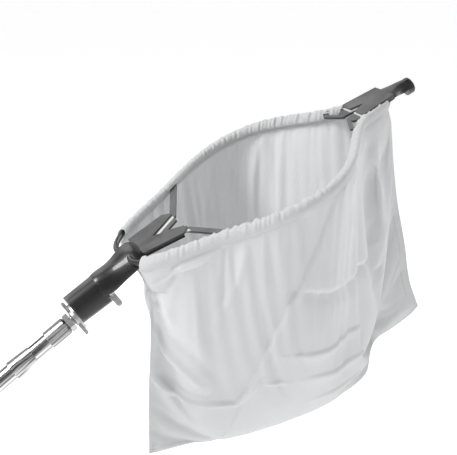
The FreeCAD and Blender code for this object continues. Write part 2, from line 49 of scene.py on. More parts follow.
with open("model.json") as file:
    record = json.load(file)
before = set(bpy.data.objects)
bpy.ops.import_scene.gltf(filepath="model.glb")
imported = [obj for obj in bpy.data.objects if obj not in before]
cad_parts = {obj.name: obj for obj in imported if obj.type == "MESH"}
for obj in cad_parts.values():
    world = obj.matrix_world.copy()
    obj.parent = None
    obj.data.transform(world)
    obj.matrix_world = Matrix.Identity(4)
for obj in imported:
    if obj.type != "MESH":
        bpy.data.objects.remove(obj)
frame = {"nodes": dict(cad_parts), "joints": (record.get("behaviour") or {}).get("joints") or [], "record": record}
cad_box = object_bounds()
nodes = frame["nodes"]

# ---- places, from the frame ---------------------------------------------------------------
ROD_R = 3.0 * MM
CASING_NEAR_END = {1: 14.0 * MM, -1: 6.0 * MM}       # along the ring's plane from the near crossing
CASING_FAR_END = 319.0 * MM


def rod_crossing(far):
    """Centre of the ring rod where it crosses the middle plane, under the neck or the far fork."""
    points = np.array([v.co for v in nodes["ring_rod"].data.vertices])
    middle_x = points[:, 0].mean()
    beyond = points[:, 0] > middle_x if far else points[:, 0] < middle_x
    near_middle = np.abs(points[:, 1]) < 2.0 * ROD_R
    cut = points[beyond & near_middle]
    return Vector((cut[:, 0].min() + cut[:, 0].max(), 0.0, cut[:, 2].min() + cut[:, 2].max())) / 2.0


NEAR = rod_crossing(far=False)
FAR = rod_crossing(far=True)
FORWARD = (FAR - NEAR).normalized()
UP = Vector((-FORWARD.z, 0.0, FORWARD.x))
RING_LENGTH = (FAR - NEAR).length
POLE_AXIS = Vector(frame["joints"][0]["axis"]).normalized()


def level(x, y, z):
    """Row position of a point given in millimetres from the near rod crossing, axes level."""
    return NEAR + Vector((x, y, z)) * MM


# ---- materials ----------------------------------------------------------------------------
class Shader:
    """Short helper for building a node material."""

    def __init__(self, name):
        self.material = bpy.data.materials.new(name)
        self.material.use_nodes = True
        self.tree = self.material.node_tree
        self.principled = self.tree.nodes["Principled BSDF"]
        self.output = self.tree.nodes["Material Output"]

    def add(self, kind, inputs=None, **settings):
        node = self.tree.nodes.new(kind)
        for key, value in settings.items():
            setattr(node, key, value)
        for key, value in (inputs or {}).items():
            self.put(node.inputs[key], value)
        return node

    def put(self, socket, value):
        if isinstance(value, bpy.types.NodeSocket):
            self.tree.links.new(value, socket)
        else:
            socket.default_value = value

    def set(self, **inputs):
        for key, value in inputs.items():
            self.put(self.principled.inputs[key.replace("_", " ")], value)

    def noise(self, vector, scale, detail=3.0, roughness=0.5):
        return self.add("ShaderNodeTexNoise", {"Vector": vector, "Scale": scale, "Detail": detail,
                                               "Roughness": roughness}).outputs["Fac"]

    def ramp(self, value, stops):
        node = self.add("ShaderNodeValToRGB", {"Fac": value})
        elements = node.color_ramp.elements
        while len(elements) < len(stops):
            elements.new(0.5)
        for element, (place, level_) in zip(elements, stops):
            element.position = place
            element.color = (level_, level_, level_, 1.0) if isinstance(level_, float) else (*level_, 1.0)
        return node.outputs["Color"]

    def math(self, operation, a, b=0.0):
        node = self.add("ShaderNodeMath", operation=operation)
        self.put(node.inputs[0], a)
        self.put(node.inputs[1], b)
        return node.outputs[0]

    def mix(self, factor, a, b):
        node = self.add("ShaderNodeMix", {"Factor": factor}, data_type="RGBA")
        self.put(node.inputs["A"], a)
        self.put(node.inputs["B"], b)
        return node.outputs["Result"]

    def bump(self, height, strength, distance):
        return self.add("ShaderNodeBump", {"Height": height, "Strength": strength,
                                           "Distance": distance}).outputs["Normal"]

    def place(self):
        return self.add("ShaderNodeTexCoord").outputs["Object"]

    def cloth_place(self):
        return self.add("ShaderNodeTexCoord").outputs["UV"]


def grey(value):
    return (value, value, value, 1.0)


def along_pole(shader, squeeze):
    """Coordinates squeezed along the pole's axis, so that noise turns into lengthwise streaks."""
    slope = math.atan2(POLE_AXIS.z, POLE_AXIS.x)
    turned = shader.add("ShaderNodeVectorRotate", {"Vector": shader.place(), "Axis": (0, 1, 0),
                                                   "Angle": slope}, rotation_type="AXIS_ANGLE")
    return shader.add("ShaderNodeMapping", {"Vector": turned.outputs[0],
                                            "Scale": (squeeze, 1.0, 1.0)}).outputs[0]


def edge_wear(shader):
    """One on sharp outer edges, zero on flat faces."""
    pointiness = shader.add("ShaderNodeNewGeometry").outputs["Pointiness"]
    return shader.ramp(pointiness, [(0.52, 0.0), (0.6, 1.0)])


def steel(name, tone, roughness, streaks, reflection_band_strength, metallic=1.0):
    """Turned or drawn steel: streaks along the pole and faint stains."""
    shader = Shader(name)
    streak = shader.noise(along_pole(shader, 0.02), streaks, 4.0)
    stain = shader.noise(shader.place(), 60.0, 5.0)
    colour = shader.mix(shader.ramp(stain, [(0.35, 0.0), (0.75, 0.6)]), grey(tone), grey(tone * 0.72))
    # Painted reflection: the colour is banded along the pole from 0.16 to 1.0 for reflection streaks. The same
    # noise in roughness and bump stands for drawing marks.
    painted_reflection_bands = shader.ramp(streak, [(0.38, 0.16), (0.47, 0.5), (0.56, 1.0)])
    colour = shader.add("ShaderNodeMix", {"Factor": reflection_band_strength, "A": colour, "B": painted_reflection_bands}, data_type="RGBA",
                        blend_type="MULTIPLY").outputs["Result"]
    rough = shader.math("MULTIPLY_ADD", streak, 0.18)
    rough.node.inputs[2].default_value = roughness
    shader.set(Base_Color=colour, Metallic=metallic, Roughness=rough,
               Normal=shader.bump(streak, 0.12, 0.0004))
    return shader.material


def enamel(name, tone, roughness, wear):
    """Black enamel on pressed steel: orange peel, rubbed edges and painted light: a lighter grey on the faces that
    look up.
    """
    shader = Shader(name)
    peel = shader.noise(shader.place(), 900.0, 2.0)
    cloud = shader.noise(shader.place(), 45.0, 5.0)
    rubbed = shader.math("MULTIPLY", edge_wear(shader), wear)
    body = shader.mix(shader.ramp(cloud, [(0.3, 0.0), (0.8, 1.0)]), grey(tone), grey(tone * 2.2))
    facing = shader.add("ShaderNodeVectorMath", {0: shader.add("ShaderNodeTexCoord").outputs["Normal"],
                                                 1: UP}, operation="DOT_PRODUCT").outputs["Value"]
    # Painted light: faces that look up turn grey (0.2) in cloudy patches. This stands for the light on the plate's
    # top and the socket's top highlight.
    painted_top_light = shader.math("MULTIPLY", shader.ramp(facing, [(0.93, 0.0), (0.98, 1.0)]), cloud)
    body = shader.mix(painted_top_light, body, grey(0.2))
    colour = shader.mix(rubbed, body, grey(0.32))
    rough = shader.ramp(cloud, [(0.3, roughness), (0.8, roughness + 0.12)])
    shader.set(Base_Color=colour, Roughness=rough, Metallic=shader.math("MULTIPLY", rubbed, 0.8),
               Normal=shader.bump(peel, 0.06, 0.0002), Specular_IOR_Level=0.3, Coat_Weight=0.3,
               Coat_Roughness=0.12)
    return shader.material


def moulded(name, tone):
    """Grained moulding with a cloudy tone."""
    shader = Shader(name)
    grain = shader.noise(shader.place(), 1600.0, 2.0)
    colour = shader.mix(shader.noise(shader.place(), 80.0), grey(tone), grey(tone * 1.6))
    shader.set(Base_Color=colour, Roughness=0.5, Normal=shader.bump(grain, 0.15, 0.0002))
    return shader.material


THREAD_PITCH = 0.9 * MM
LIGHT_THROUGH = 0.4         # share of the light that the cloth lets through


def canvas(name, tint, coarse):
    """White canvas: a plain weave on the cloth's own coordinates, with a soft diagonal rib."""
    shader = Shader(name)
    cloth = shader.cloth_place()
    turns = 1.0 / THREAD_PITCH
    warp, weft = (shader.add("ShaderNodeTexWave", {"Vector": cloth, "Scale": turns / 3.14,
                                                   "Distortion": 0.6, "Detail": 1.0},
                             bands_direction=way) for way in "XY")
    rib = shader.add("ShaderNodeTexWave", {"Vector": cloth, "Scale": turns / 9.0, "Distortion": 1.2,
                                           "Detail": 2.0}, bands_direction="DIAGONAL")
    threads = shader.math("MAXIMUM", warp.outputs["Fac"], weft.outputs["Fac"])
    weave = shader.math("MULTIPLY", threads, 0.6)
    ribbing = shader.math("MULTIPLY", rib.outputs["Fac"], coarse)
    height = shader.math("ADD", weave, ribbing)
    slub = shader.noise(cloth, 260.0, 4.0)
    cloud = shader.noise(cloth, 22.0, 3.0)
    darker = tuple(c * 0.93 for c in tint[:3]) + (1.0,)
    colour = shader.mix(shader.math("MULTIPLY", rib.outputs["Fac"], 0.5), tint, darker)
    colour = shader.mix(shader.ramp(cloud, [(0.3, 0.0), (0.8, 0.5)]), colour, darker)
    colour = shader.mix(shader.ramp(slub, [(0.6, 0.0), (0.8, 0.25)]), colour, grey(0.97))
    shader.set(Base_Color=colour, Roughness=0.9, Sheen_Weight=0.25, Sheen_Roughness=0.5,
               Normal=shader.bump(height, 0.35, 0.0005))
    glow = shader.add("ShaderNodeBsdfTranslucent", {"Color": tint})
    both = shader.add("ShaderNodeMixShader", {"Fac": LIGHT_THROUGH})
    shader.tree.links.new(shader.principled.outputs[0], both.inputs[1])
    shader.tree.links.new(glow.outputs[0], both.inputs[2])
    shader.tree.links.new(both.outputs[0], shader.output.inputs[0])
    return shader.material


def thread_material():
    """Grey twisted sewing thread."""
    shader = Shader("sewing_thread")
    twist = shader.add("ShaderNodeTexWave", {"Vector": shader.place(), "Scale": 1500.0},
                       bands_direction="DIAGONAL").outputs["Fac"]
    shader.set(Base_Color=shader.mix(twist, grey(0.5), grey(0.62)), Roughness=0.7,
               Normal=shader.bump(twist, 0.4, 0.0002))
    return shader.material


CANVAS = canvas("white_canvas", tint=(0.82, 0.825, 0.83, 1.0), coarse=0.5)
THREAD = thread_material()
MATERIAL_OF_SLOT = {
    "steel_tube": steel("polished_tube", tone=0.74, roughness=0.16, streaks=420.0, reflection_band_strength=0.95),
    "steel_collar": steel("turned_steel", tone=0.62, roughness=0.2, streaks=520.0, reflection_band_strength=0.9),
    "zinc_steel": steel("zinc_plate", tone=0.6, roughness=0.32, streaks=500.0, reflection_band_strength=0.35),
    "black_paint": enamel("black_enamel", tone=0.006, roughness=0.36, wear=0.25),
    # The ground edge is bare steel and partly painted light. Its near-white colour with little metal carries a
    # painted highlight along the V.
    "blade_steel": steel("ground_steel_painted_highlight", tone=0.95, roughness=0.4, streaks=700.0, reflection_band_strength=0.05,
                         metallic=0.3),
    "black_plastic": moulded("black_moulding", tone=0.02),
    "nylon": moulded("nylon", tone=0.08),
    "canvas": CANVAS,
}


EDGE_RADIUS = 0.35 * MM
SHARP_EDGE = math.radians(35)       # edges that bend less stay as they are


def dress_cad_nodes():
    """Gives every CAD node its slot's material and soft edges."""
    for part in frame["record"]["subparts"]:
        piece = nodes[part["node"]]
        piece.data.materials.clear()
        piece.data.materials.append(MATERIAL_OF_SLOT[part["material_slot"]])
        bevel = piece.modifiers.new("soft_edges", "BEVEL")
        bevel.width = EDGE_RADIUS
        bevel.segments = 2
        bevel.limit_method = "ANGLE"
        bevel.angle_limit = SHARP_EDGE
        bevel.harden_normals = False


# ---- mesh helpers -------------------------------------------------------------------------
def new_piece(name, points, faces, material, uvs=None):
    """A smooth mesh that belongs to the head."""
    mesh = bpy.data.meshes.new(name)
    mesh.from_pydata([tuple(p) for p in points], [], [tuple(f) for f in faces])
    mesh.validate()
    mesh.update()
    if uvs is not None:
        layer = mesh.uv_layers.new(name="cloth")
        corners = np.empty(len(mesh.loops), int)
        mesh.loops.foreach_get("vertex_index", corners)
        layer.data.foreach_set("uv", np.asarray(uvs, np.float32)[corners].ravel())
    mesh.polygons.foreach_set("use_smooth", [True] * len(mesh.polygons))
    mesh.materials.append(material)
    piece = bpy.data.objects.new(name, mesh)
    bpy.context.scene.collection.objects.link(piece)
    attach(piece, "head")
    return piece


def grid_faces(rows, columns):
    """Quads over a grid stored row by row."""
    faces = []
    for r in range(rows - 1):
        for c in range(columns - 1):
            corner = r * columns + c
            faces.append((corner, corner + 1, corner + columns + 1, corner + columns))
    return faces


def resample(points, count):
    """`count` points evenly spaced along a polyline."""
    points = np.asarray(points, float)
    steps = np.linalg.norm(np.diff(points, axis=0), axis=1)
    reach = np.concatenate([[0.0], np.cumsum(steps)])
    wanted = np.linspace(0.0, reach[-1], count)
    return np.stack([np.interp(wanted, reach, points[:, k]) for k in range(3)], axis=1)


def smooth_curve(knots, count):
    """Catmull-Rom curve through the knots, evenly resampled."""
    knots = [np.array(k, float) for k in knots]
    ends = [2 * knots[0] - knots[1]] + knots + [2 * knots[-1] - knots[-2]]
    points = []
    for a, b, c, d in zip(ends, ends[1:], ends[2:], ends[3:]):
        for t in np.linspace(0.0, 1.0, 24, endpoint=False):
            points.append(0.5 * (2 * b + (c - a) * t + (2 * a - 5 * b + 4 * c - d) * t ** 2
                                 + (3 * b - 3 * c + d - a) * t ** 3))
    points.append(knots[-1])
    return resample(points, count)


# ---- the ring, as the cloth sees it ---------------------------------------------------------
def ring_centreline(side, count=300):
    """Points along the middle of the rod on one side, from near crossing to far crossing."""
    rod = nodes["ring_rod"].data
    tree = BVHTree.FromPolygons([v.co for v in rod.vertices], [tuple(p.vertices) for p in rod.polygons])
    middle = NEAR + FORWARD * RING_LENGTH * 0.5
    points = []
    for i in range(count + 1):
        angle = math.pi * (1.0 - i / count)
        ray = (FORWARD * math.cos(angle) + Vector((0, side, 0)) * math.sin(angle)).normalized()
        inner = tree.ray_cast(middle, ray)[0]
        outer = tree.ray_cast(inner + ray * 0.5 * MM, ray)[0]
        points.append(tuple((inner + outer) * 0.5))
    return np.array(points)


def hem_line(side, count):
    """The stretch of the rod that the hem of one side wraps, evenly resampled."""
    line = resample(ring_centreline(side), 1200)
    along = (line - np.array(NEAR)) @ np.array(FORWARD)
    return resample(line[(along > CASING_NEAR_END[side]) & (along < CASING_FAR_END)], count)


def outward_of(line, side):
    """Unit vectors in the ring's plane that point away from its inside."""
    along = np.gradient(line, axis=0)
    across = np.cross(along, np.array(UP))
    across /= np.linalg.norm(across, axis=1, keepdims=True)
    return across * (-side)


STITCH_OUT = 2.5 * MM       # the hem's stitch line, outside and below the rod
STITCH_DOWN = 8.0 * MM


def stitch_line(side, count):
    line = hem_line(side, count)
    return line + outward_of(line, side) * STITCH_OUT - np.array((0.0, 0.0, STITCH_DOWN))


# ---- cloth panels ---------------------------------------------------------------------------
# Lines of the hanging bag in level millimetres from the near rod crossing: along the pole's
# direction, to the left, up.  The bottom seam swings towards the right in the middle of the bag.
BOTTOM_SEAM = [(22, 0, -230), (75, -14, -218), (141, -26, -205), (209, -36, -187), (243, -40, -175),
               (258, -40, -167), (268, -34, -160), (282, -14, -151), (300, 4, -144), (319, 6, -137),
               (342, 2, -121), (351, 0, -111)]
NEAR_SEAM = [(21, -14, -34), (26, -4, -54), (27, 0, -98), (23, 0, -167), (22, 0, -230)]
FAR_SEAM = [(304, -2, 108), (308, 0, 82), (311, 0, 58), (317, 0, 20), (328, 0, -27), (338, 0, -78),
            (351, 0, -111)]
RIGHT_FOLD = [(293, -22, 105), (295, -25, 62), (296, -26, 22), (296, -27, -2), (292, -30, -38),
              (282, -33, -96), (268, -34, -160)]
SEAM_START = 0.13           # share of the depth where the panels' edges meet in the seams
FOLD_PLACE = 0.88           # share of the width where the right panel folds back on itself
FOLD_BACK = 0.93
FOLD_DEPTH = Vector((-8.0, 26.0, 5.0)) * MM     # from the fold's crest to the cloth behind it
EDGE_PULL = 0.16            # share of the width over which a seam pulls the cloth to itself
FOLD_PULL = 0.18            # the same for the fold's crest
FOLD_FADES = (0.12, 0.08)   # shares of the depth over which the fold opens below the hem and at the seam
BELLY = (2.2, 0.9)          # the bag's cross section: powers of the depth and of what is left of it
BOTTOM_SHARES = ((0.0, 0.0), (FOLD_PLACE, 0.70), (FOLD_BACK, 0.81), (1.0, 1.0))


def level_curve(points, count):
    return smooth_curve([level(*p) for p in points], count)


def smoothstep(x):
    x = np.clip(x, 0.0, 1.0)
    return x * x * (3.0 - 2.0 * x)


def panel_edge(top_corner, seam, rows):
    """Edge of a panel: from the hem's corner across to the seam, then down along it."""
    knee = int(rows * SEAM_START)
    upper = smooth_curve([top_corner, (np.array(top_corner) + np.array(seam[0])) / 2, seam[0]], knee + 1)
    return np.concatenate([upper[:-1], resample(seam, rows - knee)])


def bottom_line(columns):
    """The bottom seam, with more of its length given to the stretch behind the fold."""
    places, shares = zip(*BOTTOM_SHARES)
    line = level_curve(BOTTOM_SEAM, 1000)
    wanted = np.interp(np.linspace(0.0, 1.0, columns), places, shares) * (len(line) - 1)
    return np.stack([np.interp(wanted, np.arange(len(line)), line[:, k]) for k in range(3)], axis=1)


def pulled_through(grid, stations):
    """Shifts the grid so that its column at each station's place lies on the station's curve.

    A station is (place, curve); a curve of None leaves the grid as it is there.
    """
    rows, columns = grid.shape[:2]
    shifts = []
    for place, curve in stations:
        column = int(round(place * (columns - 1)))
        shifts.append((place, 0.0 * grid[:, 0] if curve is None else curve - grid[:, column]))
    moved = grid.copy()
    for c in range(columns):
        place = c / (columns - 1)
        for (left, left_shift), (right, right_shift) in zip(shifts, shifts[1:]):
            if left <= place <= right:
                t = smoothstep((place - left) / (right - left))
                moved[:, c] = grid[:, c] + left_shift * (1.0 - t) + right_shift * t
    return moved


def panel_grid(side, columns, rows):
    """Rest shape of one panel as a rows x columns grid of points."""
    top = stitch_line(side, columns)
    bottom = bottom_line(columns)
    depth = np.linspace(0.0, 1.0, rows)[:, None, None]
    grid = top * (1.0 - depth) + bottom * depth
    share = (1.0 - depth[:, :, 0] ** BELLY[0]) ** BELLY[1]
    grid[:, :, 1] = bottom[:, 1] + (top[:, 1] - bottom[:, 1]) * share
    near_edge = panel_edge(top[0], level_curve(NEAR_SEAM, rows), rows)
    far_edge = panel_edge(top[-1], level_curve(FAR_SEAM, rows), rows)
    if side > 0:
        return pulled_through(grid, [(0.0, near_edge), (EDGE_PULL, None), (1.0 - EDGE_PULL, None),
                                     (1.0, far_edge)])
    starts = smoothstep(depth[:, 0] / FOLD_FADES[0]) * smoothstep((1.0 - depth[:, 0]) / FOLD_FADES[1])
    crest = level_curve(RIGHT_FOLD, rows)
    at_crest = grid[:, int(round(FOLD_PLACE * (columns - 1)))]
    behind = grid[:, int(round(FOLD_BACK * (columns - 1)))]
    crest_curve = at_crest + (crest - at_crest) * starts
    back_curve = behind + (crest + np.array(FOLD_DEPTH) - behind) * starts
    return pulled_through(grid, [(0.0, near_edge), (EDGE_PULL, None), (FOLD_PLACE - FOLD_PULL, None),
                                 (FOLD_PLACE, crest_curve), (FOLD_BACK, back_curve), (1.0, far_edge)])


def grid_normals(grid, side):
    """Unit normals of the grid's points, away from the bag's inside."""
    down = np.gradient(grid, axis=0)
    across = np.gradient(grid, axis=1)
    normal = np.cross(across, down)
    normal /= np.linalg.norm(normal, axis=2, keepdims=True) + 1e-12
    return normal if side < 0 else -normal


def refine(grid, columns, rows):
    """The same surface on a finer grid."""
    old_rows, old_columns = grid.shape[:2]
    row_place = np.linspace(0, old_rows - 1, rows)
    column_place = np.linspace(0, old_columns - 1, columns)
    wide = np.empty((old_rows, columns, 3))
    for r in range(old_rows):
        for k in range(3):
            wide[r, :, k] = np.interp(column_place, np.arange(old_columns), grid[r, :, k])
    fine = np.empty((rows, columns, 3))
    for c in range(columns):
        for k in range(3):
            fine[:, c, k] = np.interp(row_place, np.arange(old_rows), wide[:, c, k])
    return fine


def relaxed(grid, rounds):
    """The grid with its inner points smoothed, edges kept."""
    grid = grid.copy()
    for _ in range(rounds):
        around = (grid[:-2, 1:-1] + grid[2:, 1:-1] + grid[1:-1, :-2] + grid[1:-1, 2:]) / 4.0
        grid[1:-1, 1:-1] = 0.4 * grid[1:-1, 1:-1] + 0.6 * around
    return grid


CLOTH_GROWTH = -0.035       # the panel is cut this much larger than the room it hangs in
SIMULATION_FRAMES = 26


def simulated(grid, side):
    """Lets the panel hang as cloth between its four sewn edges."""
    rows, columns = grid.shape[:2]
    mesh = bpy.data.meshes.new("hanging")
    mesh.from_pydata([tuple(p) for p in grid.reshape(-1, 3)], [], grid_faces(rows, columns))
    piece = bpy.data.objects.new("hanging", mesh)
    bpy.context.scene.collection.objects.link(piece)
    group = piece.vertex_groups.new(name="sewn")
    border = [r * columns + c for r in range(rows) for c in range(columns)
              if r in (0, rows - 1) or c in (0, columns - 1)]
    group.add(border, 1.0, "REPLACE")
    cloth = piece.modifiers.new("hang", "CLOTH")
    settings = cloth.settings
    settings.quality = 6
    settings.mass = 0.25
    settings.tension_stiffness = 25.0
    settings.compression_stiffness = 25.0
    settings.shear_stiffness = 6.0
    settings.bending_stiffness = 1.2
    settings.air_damping = 4.0
    settings.vertex_group_mass = "sewn"
    settings.shrink_min = CLOTH_GROWTH
    settings.shrink_max = CLOTH_GROWTH
    cloth.collision_settings.use_self_collision = False
    cloth.point_cache.frame_start = 1
    cloth.point_cache.frame_end = SIMULATION_FRAMES
    scene = bpy.context.scene
    for step in range(1, SIMULATION_FRAMES + 1):
        scene.frame_set(step)
    shape = piece.evaluated_get(bpy.context.evaluated_depsgraph_get()).data
    result = np.array([v.co for v in shape.vertices]).reshape(grid.shape)
    scene.frame_set(1)
    bpy.data.objects.remove(piece)
    return result


def crease(field_u, field_v, points, width, height, slope=1.0):
    """Height field of one crease along (u, v) points: a ridge if `height` is above zero.

    `slope` is how many times wider it is on the side that is on the right when looking along it.
    """
    best = np.full(field_u.shape, 9.0)
    share = np.zeros(field_u.shape)
    spread = np.full(field_u.shape, width)
    count = len(points) - 1
    for i, ((u0, v0), (u1, v1)) in enumerate(zip(points, points[1:])):
        du, dv = u1 - u0, v1 - v0
        t = np.clip(((field_u - u0) * du + (field_v - v0) * dv) / (du * du + dv * dv), 0.0, 1.0)
        away = np.hypot(field_u - u0 - t * du, field_v - v0 - t * dv)
        on_right = du * (field_v - v0) - dv * (field_u - u0) > 0.0
        closer = away < best
        best = np.where(closer, away, best)
        share = np.where(closer, (i + t) / count, share)
        spread = np.where(closer, np.where(on_right, width * slope, width), spread)
    fade = np.sin(math.pi * np.clip(share, 0.02, 0.98)) ** 0.5
    return height * fade * np.exp(-(best / spread) ** 2)


# Standing creases: points as (share of the hem's length, share of the depth), width as a share,
# height in millimetres and, for a lopsided one, its slope.
RIGHT_CREASES = [
    ([(0.58, -0.02), (0.53, 0.07), (0.46, 0.25), (0.41, 0.35), (0.36, 0.49), (0.29, 0.73), (0.26, 0.90)],
     0.011, 3.2, 7.0),
    ([(0.72, 0.02), (0.65, 0.06), (0.67, 0.18), (0.73, 0.32)], 0.014, -1.8),
    ([(0.90, 0.02), (0.83, 0.05), (0.75, 0.11)], 0.015, -2.6),
    ([(0.93, 0.05), (0.86, 0.08), (0.79, 0.17)], 0.015, -2.4),
    ([(0.45, 0.30), (0.56, 0.38), (0.70, 0.45), (0.80, 0.43), (0.85, 0.33)], 0.011, 3.4, 3.0),
    ([(0.43, 0.56), (0.57, 0.62), (0.79, 0.67)], 0.008, -2.6, 3.0),
    ([(0.50, 0.70), (0.63, 0.76), (0.80, 0.79)], 0.008, -2.6, 3.0),
    ([(0.54, 0.84), (0.70, 0.88), (0.83, 0.90)], 0.008, -2.0, 2.0),
    ([(0.35, 0.66), (0.44, 0.69)], 0.008, -1.6),
    ([(0.00, 0.30), (0.04, 0.41), (0.08, 0.48), (0.16, 0.62)], 0.015, -6.0),
    ([(0.03, 0.24), (0.08, 0.36), (0.14, 0.46), (0.21, 0.60)], 0.024, 3.4),
    ([(0.00, 0.60), (0.06, 0.68), (0.13, 0.71), (0.21, 0.73), (0.28, 0.75), (0.36, 0.64)], 0.011, -4.2),
    ([(0.01, 0.57), (0.06, 0.63), (0.13, 0.66), (0.20, 0.68)], 0.018, 2.4),
    ([(0.01, 0.06), (0.03, 0.24), (0.02, 0.37), (0.01, 0.52)], 0.012, -3.4),
    ([(0.02, 0.08), (0.10, 0.03), (0.16, 0.03), (0.21, 0.02)], 0.012, -2.6),
    ([(0.02, 0.05), (0.06, 0.16), (0.09, 0.30)], 0.014, -2.2),
    ([(0.30, 0.03), (0.27, 0.18), (0.20, 0.34)], 0.016, -2.2),
]
LEFT_CREASES = [
    ([(0.35, 0.03), (0.36, 0.20), (0.38, 0.60)], 0.014, 2.2),
    ([(0.46, 0.03), (0.42, 0.20), (0.38, 0.36), (0.36, 0.70)], 0.016, -2.6),
    ([(0.62, 0.02), (0.60, 0.17), (0.57, 0.50)], 0.014, 2.4),
    ([(0.55, 0.03), (0.50, 0.20), (0.47, 0.45)], 0.014, -2.2),
    ([(0.67, 0.02), (0.67, 0.15), (0.66, 0.55)], 0.013, -2.2),
    ([(0.25, 0.03), (0.27, 0.30), (0.30, 0.70)], 0.020, 2.5),
]


# Gathers under the hem: how many, their greatest height in millimetres, and the share of the depth
# that the longest one reaches.
SHORT_GATHERS = (46, 1.1, 0.2)
LONG_GATHERS = {-1: (12, 2.2, 0.6), 1: (12, 2.2, 0.9)}
FLAT_EDGES = (0.02, 0.015)      # shares of width and depth that stay flat along the seams


def folds(field_u, field_v, seed, count, height, depth):
    """Gathers that start at the hem and die out down the panel."""
    rng = random.Random(seed)
    total = np.zeros(field_u.shape)
    for _ in range(count):
        middle = rng.uniform(0.0, 1.0)
        lean = rng.uniform(-0.06, 0.06)
        width = rng.uniform(0.006, 0.018)
        reach = rng.uniform(0.4, 1.0) * depth
        size = rng.uniform(0.3, 1.0) * height * rng.choice((-1, 1))
        away = field_u - middle - lean * field_v
        total += size * np.exp(-(away / width) ** 2) * (1.0 - smoothstep(field_v / reach))
    return total


def sculpted(grid, side):
    """Adds the gathers under the hem and the standing creases of the worn cloth."""
    rows, columns = grid.shape[:2]
    field_v, field_u = np.meshgrid(np.linspace(0, 1, rows), np.linspace(0, 1, columns), indexing="ij")
    creases = RIGHT_CREASES if side < 0 else LEFT_CREASES
    height = sum((crease(field_u, field_v, *one) for one in creases), np.zeros(field_u.shape))
    height += folds(field_u, field_v, 7 + side, *SHORT_GATHERS)
    height += folds(field_u, field_v, 17 + side, *LONG_GATHERS[side])
    edge = np.minimum(np.minimum(field_u, 1 - field_u) / FLAT_EDGES[0],
                      np.minimum(field_v, 1 - field_v) / FLAT_EDGES[1])
    return grid + grid_normals(grid, side) * (height * smoothstep(edge))[:, :, None] * MM


def cloth_uvs(grid):
    """Cloth coordinates in metres, measured along the grid's own lines."""
    across = np.linalg.norm(np.diff(grid, axis=1), axis=2)
    down = np.linalg.norm(np.diff(grid, axis=0), axis=2)
    u = np.concatenate([np.zeros((grid.shape[0], 1)), np.cumsum(across, axis=1)], axis=1)
    v = np.concatenate([np.zeros((1, grid.shape[1])), np.cumsum(down, axis=0)], axis=0)
    return np.stack([u, v], axis=2).reshape(-1, 2)


SIDE_NAME = {1: "left", -1: "right"}
SIM_COLUMNS = 110
SIM_ROWS = 72
PANEL_COLUMNS = 330
PANEL_ROWS = 216
CANVAS_THICK = 0.8 * MM
SMOOTHING_ROUNDS = 12


def thicken(piece, offset):
    """Gives a cloth surface its thickness: `offset` -1 puts it inside the surface, 0 across it."""
    modifier = piece.modifiers.new("thickness", "SOLIDIFY")
    modifier.thickness = CANVAS_THICK
    modifier.offset = offset


def make_panel(side):
    """One cloth panel of the bag; returns its grid so that the seams can follow it."""
    grid = panel_grid(side, SIM_COLUMNS, SIM_ROWS)
    grid = simulated(grid, side)
    grid = relaxed(refine(grid, PANEL_COLUMNS, PANEL_ROWS), SMOOTHING_ROUNDS)
    grid = sculpted(grid, side)
    faces = grid_faces(PANEL_ROWS, PANEL_COLUMNS)
    if side > 0:
        faces = [tuple(reversed(face)) for face in faces]
    name = "bag_cloth_" + SIDE_NAME[side]
    piece = new_piece(name, grid.reshape(-1, 3), faces, CANVAS, uvs=cloth_uvs(grid))
    thicken(piece, -1.0)
    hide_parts("bag_" + SIDE_NAME[side] + "_panel")
    return grid


# ---- hem ------------------------------------------------------------------------------------
# Section of the hem around the rod: (outwards, up) in millimetres, starting at the stitch line.
HEM_SECTION = [(2.9, -8.4), (4.6, -4.6), (5.0, -0.2), (3.6, 3.4), (0.2, 4.8), (-3.4, 3.6), (-4.8, 0.0),
               (-3.4, -4.6), (1.9, -8.6)]
HEM_COLUMNS = 900
HEM_AROUND = 26
HEM_RING_STEP = 1.4 * MM    # cloth between two neighbouring points around the hem
PLEAT_PITCHES = (5.0, 7.5, 11.0, 17.0)      # millimetres


def gathering(count, length, seed):
    """Pleat heights along the hem: short waves of changing pitch and strength, from -1 to 1."""
    rng = random.Random(seed)
    place = np.linspace(0.0, length, count)
    total = np.zeros(count)
    for pitch in PLEAT_PITCHES:
        drift = np.cumsum([rng.uniform(-0.012, 0.012) for _ in range(count)])
        swell = 0.6 + 0.4 * np.sin(place / (pitch * MM) * 0.37 + rng.uniform(0, 6.28))
        total += swell * np.sin(2 * math.pi * place / (pitch * MM) + drift * 12.0 + rng.uniform(0, 6.28))
    return total / len(PLEAT_PITCHES)


